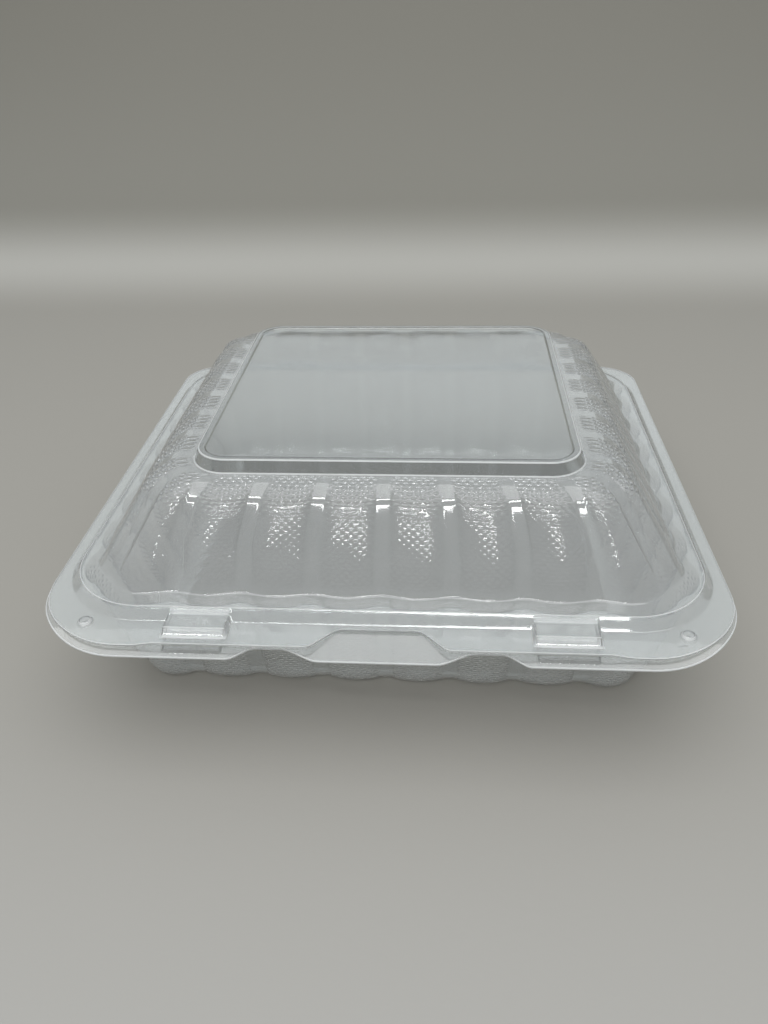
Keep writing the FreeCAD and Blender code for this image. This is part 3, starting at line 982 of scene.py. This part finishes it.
class Wires:
    """A node tree with short calls for what the flutes, the finishes and the light need."""

    def __init__(self, tree: bpy.types.NodeTree) -> None:
        """Take the tree to work in."""
        self.tree = tree

    def add(self, kind: str, **inputs: object) -> bpy.types.Node:
        """Add a node, and set or link its inputs by name.

        Args:
            kind: the node's type.
            inputs: values or sockets, with low lines for the spaces in their names.

        Returns:
            The node.
        """
        node = self.tree.nodes.new(kind)
        for name, value in inputs.items():
            self.put(node.inputs[name.replace("_", " ")], value)
        return node

    def put(self, socket: Socket, value: object) -> None:
        """Set an input, or link it where the value is a socket."""
        if isinstance(value, Socket):
            self.tree.links.new(value, socket)
        else:
            socket.default_value = value

    def math(self, kind: str, *values: object, clamp: bool = False) -> Socket:
        """Add a math node.

        Args:
            kind: the operation.
            values: its inputs, numbers or sockets.
            clamp: whether the result is kept from 0 to 1.

        Returns:
            Its output.
        """
        node = self.tree.nodes.new("ShaderNodeMath")
        node.operation, node.use_clamp = kind, clamp
        for socket, value in zip(node.inputs, values):
            self.put(socket, value)
        return node.outputs[0]

    def square(self, value: Socket) -> Socket:
        """Multiply a value by itself."""
        return self.math("MULTIPLY", value, value)

    def spread(self, value: object, low: float, high: float) -> Socket:
        """Map a value from 0 to 1 to a range."""
        return self.add("ShaderNodeMapRange", Value=value, To_Min=low, To_Max=high).outputs[0]

    def blend(self, share: object, first: Triple, second: Triple) -> Socket:
        """Mix two colours.

        Args:
            share: how much of the second.
            first: the colour at 0.
            second: the colour at 1.

        Returns:
            The mixed colour.
        """
        node = self.add("ShaderNodeMix")
        node.data_type = "RGBA"
        for index, value in ((0, share), (6, (*first, 1.0)), (7, (*second, 1.0))):
            self.put(node.inputs[index], value)
        return node.outputs[2]

    def ramp(self, value: Socket, ends: tuple[float, float],
             stops: tuple[tuple[float, Triple], ...], ease: str = "LINEAR") -> Socket:
        """Turn a value into a colour.

        Args:
            value: what to read.
            ends: the values at the ends of the ramp.
            stops: places on the ramp from 0 to 1, with their colours.
            ease: how colours between stops are found.

        Returns:
            The colour.
        """
        share = self.add("ShaderNodeMapRange", Value=value, From_Min=ends[0], From_Max=ends[1])
        node = self.add("ShaderNodeValToRGB", Fac=share.outputs[0])
        bar = node.color_ramp
        bar.interpolation = ease
        while len(bar.elements) < len(stops):
            bar.elements.new(0.5)
        for element, (position, color) in zip(bar.elements, stops):
            element.position, element.color = position, (*color, 1.0)
        return node.outputs[0]


class FluteTree:
    """Geometry Nodes that press the panels between the ribs outwards."""

    def __init__(self) -> None:
        """Build the tree once, for both halves."""
        self.tree = bpy.data.node_groups.new("pressed_flutes", "GeometryNodeTree")
        self.sockets: dict[str, str] = {}
        face = self.tree.interface
        face.new_socket("Geometry", in_out="INPUT", socket_type="NodeSocketGeometry")
        for name in ("Rib Width", "Flute Depth", "Edge Step", "Edge Width", "Material"):
            kind = "NodeSocketMaterial" if name == "Material" else "NodeSocketFloat"
            self.sockets[name] = face.new_socket(name, in_out="INPUT", socket_type=kind).identifier
        face.new_socket("Geometry", in_out="OUTPUT", socket_type="NodeSocketGeometry")
        self.build(Wires(self.tree))

    def stored(self, name: str, kind: str = "FLOAT") -> Socket:
        """Read a value stored on the points."""
        node = self.tree.nodes.new("GeometryNodeInputNamedAttribute")
        node.data_type = kind
        node.inputs["Name"].default_value = name
        return node.outputs["Attribute"]

    def build(self, wires: Wires) -> None:
        """Wire the rule: a panel bows outwards between the edges of two ribs.

        Args:
            wires: the tree to work in.
        """
        entry = wires.add("NodeGroupInput").outputs
        edge = wires.math("MULTIPLY", entry["Rib Width"], 0.5)
        gap, span = self.stored("rib_gap"), self.stored("half_span")
        past = wires.math("SUBTRACT", gap, edge)
        share = wires.math("DIVIDE", past, wires.math("SUBTRACT", span, edge), clamp=True)
        bow = wires.math("SUBTRACT", 1.0, wires.square(wires.math("SUBTRACT", 1.0, share)))
        turn = wires.math("MULTIPLY", wires.math("DIVIDE", gap, span, clamp=True), math.pi / 2)
        wave = wires.square(wires.math("SINE", turn))
        soften = self.stored("soften")
        crisp = wires.math("SUBTRACT", 1.0, soften)
        hump = wires.math("ADD", wires.math("MULTIPLY", bow, crisp),
                          wires.math("MULTIPLY", wave, soften))
        rise = wires.add("ShaderNodeMapRange", Value=past, From_Max=entry["Edge Width"])
        rise.interpolation_type = "SMOOTHSTEP"
        kerb = wires.math("MULTIPLY", rise.outputs[0], entry["Edge Step"])
        kerb = wires.math("MULTIPLY", kerb, crisp)
        crest = wires.math("SUBTRACT", entry["Flute Depth"], entry["Edge Step"])
        size = wires.math("ADD", wires.math("MULTIPLY", hump, crest), kerb)
        size = wires.math("MULTIPLY", size, self.stored("swell"))
        push = wires.add("ShaderNodeVectorMath")
        push.operation = "SCALE"
        wires.put(push.inputs[0], self.stored("outward", "FLOAT_VECTOR"))
        wires.put(push.inputs["Scale"], size)
        move = wires.add("GeometryNodeSetPosition", Geometry=entry["Geometry"],
                         Offset=push.outputs[0])
        solid = wires.add("GeometryNodeRealizeInstances", Geometry=move.outputs[0])
        paint = wires.add("GeometryNodeSetMaterial", Geometry=solid.outputs[0],
                          Material=entry["Material"])
        wires.add("NodeGroupOutput", Geometry=paint.outputs[0])

    def add_to(self, piece: bpy.types.Object, material: bpy.types.Material, flutes: Flutes) -> None:
        """Put the tree on a piece.

        Args:
            piece: the piece.
            material: what its faces get first.
            flutes: the sizes.
        """
        modifier = piece.modifiers.new("flutes", "NODES")
        modifier.node_group = self.tree
        for name, size in (("Rib Width", flutes.rib_width), ("Flute Depth", flutes.depth),
                           ("Edge Step", flutes.step), ("Edge Width", flutes.step_width)):
            modifier[self.sockets[name]] = size * MM
        modifier[self.sockets["Material"]] = material


class Nodes(Wires):
    """The node tree of a new material."""

    def __init__(self, name: str) -> None:
        """Start a material with an empty tree."""
        self.material = bpy.data.materials.new(name)
        self.material.use_nodes = True
        super().__init__(self.material.node_tree)
        self.tree.nodes.clear()


@dataclass(frozen=True)
class ClearSheet:
    """Clear, slightly milky formed sheet with pressed grain on its panels, and painted shade in the
    hollows between the grain's drops.
    """

    name: str = "clear_sheet"
    color: Triple = (0.965, 0.99, 0.99)
    # Painted shade: the darker colour of the hollows between the grain's drops.
    hollow: Triple = (0.91, 0.93, 0.93)
    transmission: float = 0.96
    roughness: tuple[float, float] = (0.035, 0.08)
    ior: float = 1.59
    gloss: float = 0.3
    shade: Triple = (0.925, 0.93, 0.925)
    grain_pitch: float = 2.9
    grain_row: float = 1.3
    grain_size: tuple[float, float] = (1.4, 0.66)
    grain_depth: float = 0.42
    wave_depth: float = 0.15
    wave_scale: float = 30.0
    hollow_shade_gain: float = 12.0

    def grain(self, nodes: Nodes) -> tuple[Socket, Socket]:
        """Wire the pressed grain, staggered rows of drops.

        Args:
            nodes: the material's tree.

        Returns:
            The grain's height, and how much painted shade darkens the hollows between the drops.
        """
        place = nodes.add("ShaderNodeUVMap")
        place.uv_map = "flat"
        parts = nodes.add("ShaderNodeSeparateXYZ", Vector=place.outputs[0]).outputs
        down = nodes.math("DIVIDE", parts[1], self.grain_row * MM)
        row = nodes.math("FLOOR", down)
        stagger = nodes.math("MULTIPLY", nodes.math("FLOORED_MODULO", row, 2.0), 0.5)
        across = nodes.math("ADD", nodes.math("DIVIDE", parts[0], self.grain_pitch * MM), stagger)
        ways = []
        for place_in, half in ((nodes.math("FRACT", across), self.grain_size[0] / self.grain_pitch),
                               (nodes.math("SUBTRACT", down, row),
                                self.grain_size[1] / self.grain_row)):
            middle = nodes.math("SUBTRACT", place_in, 0.5)
            ways.append(nodes.square(nodes.math("DIVIDE", middle, half)))
        distance = nodes.math("ADD", *ways)
        drop = nodes.square(nodes.math("MAXIMUM", nodes.math("SUBTRACT", 1.0, distance), 0.0))
        mask = nodes.add("ShaderNodeAttribute")
        mask.attribute_name = "grain"
        depth = mask.outputs["Fac"]
        # Painted shade: the hollows between the drops darken where the grain is pressed.
        low = nodes.math("MULTIPLY", nodes.math("SUBTRACT", 1.0, drop),
                         nodes.math("MULTIPLY", depth, self.hollow_shade_gain, clamp=True))
        return nodes.math("MULTIPLY", drop, depth), low

    def build(self) -> bpy.types.Material:
        """Make the material.

        Returns:
            The material, which lets light through for shadows.
        """
        nodes = Nodes(self.name)
        place = nodes.add("ShaderNodeTexCoord").outputs["Object"]
        wave = nodes.add("ShaderNodeTexNoise", Vector=place, Scale=self.wave_scale, Detail=1.5)
        slow = nodes.add("ShaderNodeBump", Height=wave.outputs[0], Strength=1.0,
                         Distance=self.wave_depth * MM)
        height, low = self.grain(nodes)
        fine = nodes.add("ShaderNodeBump", Height=height, Strength=1.0,
                         Distance=self.grain_depth * MM, Normal=slow.outputs[0])
        # The sheet's colour, with painted shade in the grain's hollows.
        color_with_hollow_shade = nodes.blend(low, self.color, self.hollow)
        cloud = nodes.add("ShaderNodeTexNoise", Vector=place, Scale=90.0, Detail=4.0)
        rough = nodes.spread(cloud.outputs[0], *self.roughness)
        surface = nodes.add("ShaderNodeBsdfPrincipled", Base_Color=color_with_hollow_shade, Roughness=rough,
                            IOR=self.ior, Transmission_Weight=self.transmission,
                            Coat_Weight=self.gloss, Coat_Roughness=0.03, Coat_IOR=1.6,
                            Coat_Normal=fine.outputs[0], Normal=fine.outputs[0])
        facing = nodes.add("ShaderNodeLayerWeight", Blend=0.5).outputs["Facing"]
        dim = nodes.blend(nodes.math("POWER", facing, 2.5), self.shade, (0.0, 0.0, 0.0))
        shadow = nodes.add("ShaderNodeBsdfTransparent", Color=dim)
        path = nodes.add("ShaderNodeLightPath")
        mixed = nodes.add("ShaderNodeMixShader", Fac=path.outputs["Is Shadow Ray"])
        nodes.put(mixed.inputs[1], surface.outputs[0])
        nodes.put(mixed.inputs[2], shadow.outputs[0])
        nodes.add("ShaderNodeOutputMaterial", Surface=mixed.outputs[0])
        return nodes.material


@dataclass(frozen=True)
class WhiteLine:
    """Where the sheet is white and dull: its trimmed edge, which is rough and whose white is partly
    painted light for the glow along the edge, and sharp bends, where the white is a painted
    highlight.
    """

    name: str = "cut_edge"
    # Whitish: on bends a painted highlight; on the trimmed edge partly its rough finish, partly
    # painted light.
    color: Triple = (0.9, 0.92, 0.915)
    roughness: tuple[float, float] = (0.3, 0.5)
    transmission: float = 0.35

    def build(self) -> bpy.types.Material:
        """Make the material."""
        nodes = Nodes(self.name)
        place = nodes.add("ShaderNodeTexCoord").outputs["Object"]
        marks = nodes.add("ShaderNodeTexNoise", Vector=place, Scale=900.0, Detail=3.0)
        bump = nodes.add("ShaderNodeBump", Height=marks.outputs[0], Strength=0.5,
                         Distance=0.05 * MM)
        surface = nodes.add("ShaderNodeBsdfPrincipled", Base_Color=(*self.color, 1.0),
                            Roughness=nodes.spread(marks.outputs[0], *self.roughness), IOR=1.49,
                            Transmission_Weight=self.transmission, Normal=bump.outputs[0])
        nodes.add("ShaderNodeOutputMaterial", Surface=surface.outputs[0])
        return nodes.material


@dataclass
class FoldCrease:
    """The thin crease along the back, where tray and lid are one sheet."""

    half_length: float = 96.0
    fold: float = 111.4
    radius: float = 0.27
    thickness: float = 0.16
    steps: int = 8
    lengths: int = 60
    reach: float = 0.3

    def build(self, material: bpy.types.Material) -> bpy.types.Object:
        """Make the crease between the two bodies.

        Args:
            material: its finish.

        Returns:
            The finished piece.
        """
        angles = [math.pi * (step / self.steps - 0.5) for step in range(self.steps + 1)]
        outer, inner = self.radius + self.thickness / 2, self.radius - self.thickness / 2
        section = [(self.fold - 0.06 + reach * math.cos(angle), LEVEL + reach * math.sin(angle))
                   for reach, order in ((outer, angles), (inner, angles[::-1]))
                   for angle in order]
        work = bmesh.new()
        rings = []
        for step in range(self.lengths + 1):
            x = self.half_length * (2 * step / self.lengths - 1)
            rings.append([work.verts.new(Vector((x, y, z)) * MM) for y, z in section])
        for left, right in zip(rings, rings[1:]):
            for index in range(len(section)):
                after = (index + 1) % len(section)
                work.faces.new((left[index], left[after], right[after], right[index]))
        work.faces.new(rings[0])
        work.faces.new(rings[-1][::-1])
        bmesh.ops.recalc_face_normals(work, faces=work.faces[:])
        mesh = bpy.data.meshes.new("fold_crease")
        work.to_mesh(mesh)
        work.free()
        mesh.materials.append(material)
        mesh.uv_layers.new(name="flat")
        piece = placed("fold_crease", mesh)
        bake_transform(piece)
        LOG.info("fold_crease: %d faces between base and lid", len(mesh.polygons))
        return piece


@dataclass(frozen=True)
class SweepFinish:
    """Warm grey paper under and behind the pack, with painted light: brighter near the front and in
    a band where it curves up, darker up the wall and far behind.
    """

    lit_near: Triple = (0.43, 0.42, 0.395)
    floor: Triple = (0.385, 0.37, 0.335)
    lit_band: Triple = (0.56, 0.55, 0.51)
    # Painted shade: the paper is darker up the wall and far behind.
    wall: Triple = (0.30, 0.29, 0.255)
    far: Triple = (0.24, 0.23, 0.195)

    def build(self) -> bpy.types.Material:
        """Make the material."""
        nodes = Nodes("grey_paper")
        place = nodes.add("ShaderNodeTexCoord").outputs["Object"]
        depth = nodes.add("ShaderNodeSeparateXYZ", Vector=place).outputs[1]
        # Painted light and shade: the colour brightens near the front and in a band where the sweep
        # curves up, and darkens up the wall and far back.
        stops = ((0.05, self.lit_near), (0.2, self.floor), (0.47, self.floor), (0.57, self.lit_band),
                 (0.68, self.wall), (1.0, self.far))
        color = nodes.ramp(depth, (-0.3, 1.0), stops, "EASE")
        fibres = nodes.add("ShaderNodeTexNoise", Vector=place, Scale=260.0, Detail=5.0)
        bump = nodes.add("ShaderNodeBump", Height=fibres.outputs[0], Strength=0.25,
                         Distance=0.2 * MM)
        surface = nodes.add("ShaderNodeBsdfPrincipled", Base_Color=color, Roughness=0.55,
                            Normal=bump.outputs[0])
        nodes.add("ShaderNodeOutputMaterial", Surface=surface.outputs[0])
        return nodes.material


@dataclass(frozen=True)
class LampBox:
    """A long softbox that faces the pack: where it hangs, its size in metres and its watts."""

    name: str
    place: Triple
    size: tuple[float, float]
    power: float


@dataclass
class Studio:
    """Camera, paper sweep and lamps."""

    eye: Triple = (19.76, -299.73, 217.19)
    pitch: float = 0.5747
    yaw: float = -0.0847
    roll: float = 0.0316
    focal: float = 830.0
    frame_height: float = 1024.0
    film: float = 36.0
    sweep_half: float = 3.0
    sweep_start: float = 0.42
    sweep_round: float = 0.55
    sweep_steps: int = 18
    sweep_turn: float = 75.0
    aim: Triple = (0.0, 0.0, 0.07)
    dim: Triple = (0.36, 0.37, 0.38)
    high: Triple = (0.50, 0.53, 0.54)
    bright: Triple = (0.74, 0.78, 0.80)
    lamps: tuple[LampBox, ...] = (
        LampBox("softbox_top", (0.0, -0.15, 1.5), (2.0, 1.4), 11.0),
        LampBox("strip_high", (-0.1, -0.79, 1.09), (0.95, 0.07), 3.0),
        LampBox("strip_low", (-0.1, -1.01, 0.84), (0.95, 0.04), 1.8))

    def build_camera(self) -> None:
        """Set the camera at the photograph's angle."""
        forward = Vector((math.sin(self.yaw) * math.cos(self.pitch),
                          math.cos(self.yaw) * math.cos(self.pitch), -math.sin(self.pitch)))
        right = forward.cross(Vector((0, 0, 1))).normalized()
        down = forward.cross(right)
        turned_right = math.cos(self.roll) * right + math.sin(self.roll) * down
        turned_down = -math.sin(self.roll) * right + math.cos(self.roll) * down
        camera = bpy.data.cameras.new("camera")
        camera.sensor_width = self.film
        camera.lens = self.focal / self.frame_height * self.film
        camera.clip_start = 0.01
        item = placed("camera", camera)
        pose = Matrix((turned_right, -turned_down, -forward)).transposed().to_4x4()
        item.matrix_world = Matrix.Translation(Vector(self.eye) * MM) @ pose
        bpy.context.scene.camera = item

    def build_sweep(self) -> None:
        """Make the floor, which curves up far behind the pack."""
        half = self.sweep_half
        profile = [(-half, 0.0), (-0.5, 0.0), (0.0, 0.0), (self.sweep_start, 0.0)]
        for step in range(1, self.sweep_steps + 1):
            angle = math.radians(self.sweep_turn) * step / self.sweep_steps
            profile.append((self.sweep_start + self.sweep_round * math.sin(angle),
                            self.sweep_round * (1 - math.cos(angle))))
        mesh = bpy.data.meshes.new("paper_sweep")
        points = [(x, y, z) for y, z in profile for x in (-half, half)]
        faces = [(low, low + 1, low + 3, low + 2) for low in range(0, 2 * len(profile) - 2, 2)]
        mesh.from_pydata(points, [], faces)
        mesh.shade_smooth()
        mesh.materials.append(SweepFinish().build())
        item = placed("paper_sweep", mesh)

    def build_light(self) -> None:
        """Hang the lamps, and fill with a studio grey that is brighter behind the pack."""
        for lamp_box in self.lamps:
            lamp = bpy.data.lights.new(lamp_box.name, "AREA")
            lamp.shape, lamp.size, lamp.size_y = "RECTANGLE", *lamp_box.size
            lamp.energy = lamp_box.power
            item = placed(lamp_box.name, lamp)
            item.location = lamp_box.place
            away = Vector(lamp_box.place) - Vector(self.aim)
            item.rotation_euler = away.to_track_quat("Z", "Y").to_euler()
        world = bpy.data.worlds.new("studio")
        world.use_nodes = True
        wires = Wires(world.node_tree)
        way = wires.add("ShaderNodeTexCoord").outputs["Generated"]
        depth = wires.add("ShaderNodeSeparateXYZ", Vector=way).outputs[1]
        stops = ((0.0, self.dim), (0.88, self.high), (0.95, self.bright))
        back = world.node_tree.nodes["Background"]
        wires.put(back.inputs["Color"], wires.ramp(depth, (-0.6, 1.0), stops))
        bpy.context.scene.world = world

    def build(self) -> None:
        """Make the whole studio."""
        self.build_camera()
        self.build_sweep()
        self.build_light()
        scene = bpy.context.scene
        scene.view_settings.view_transform = "Standard"
        scene.cycles.transparent_max_bounces = 24
        scene.cycles.caustics_reflective = False
        scene.cycles.caustics_refractive = False
        LOG.info("studio ready")


def main() -> None:
    """Build the pack and its studio."""
    logging.basicConfig(level=logging.INFO, format="%(name)s: %(message)s")
    outer = ClearSheet().build()
    inner = ClearSheet(name="clear_sheet_inside", grain_depth=0.08).build()
    # The cut edge is whitish: partly its rough trimmed finish, partly painted light for the glow
    # along the edge.
    finishes = {Skin.SHEET: outer, Skin.INSIDE: inner, Skin.CUT: WhiteLine().build(),
                # Painted highlights: bends and marked lines get a white, dull finish.
                Skin.BEND: WhiteLine("painted_bend_highlight").build(),
                Skin.RIM: ClearSheet(name="thick_sheet", transmission=0.8).build(),
                Skin.WALL: ClearSheet(name="fluted_sheet", transmission=0.78).build()}
    tree = FluteTree()
    TrayShell().build(finishes, tree)
    LidShell().build(finishes, tree)
    FoldCrease().build(inner)
    Studio().build()


if __name__ == "__main__":
    main()
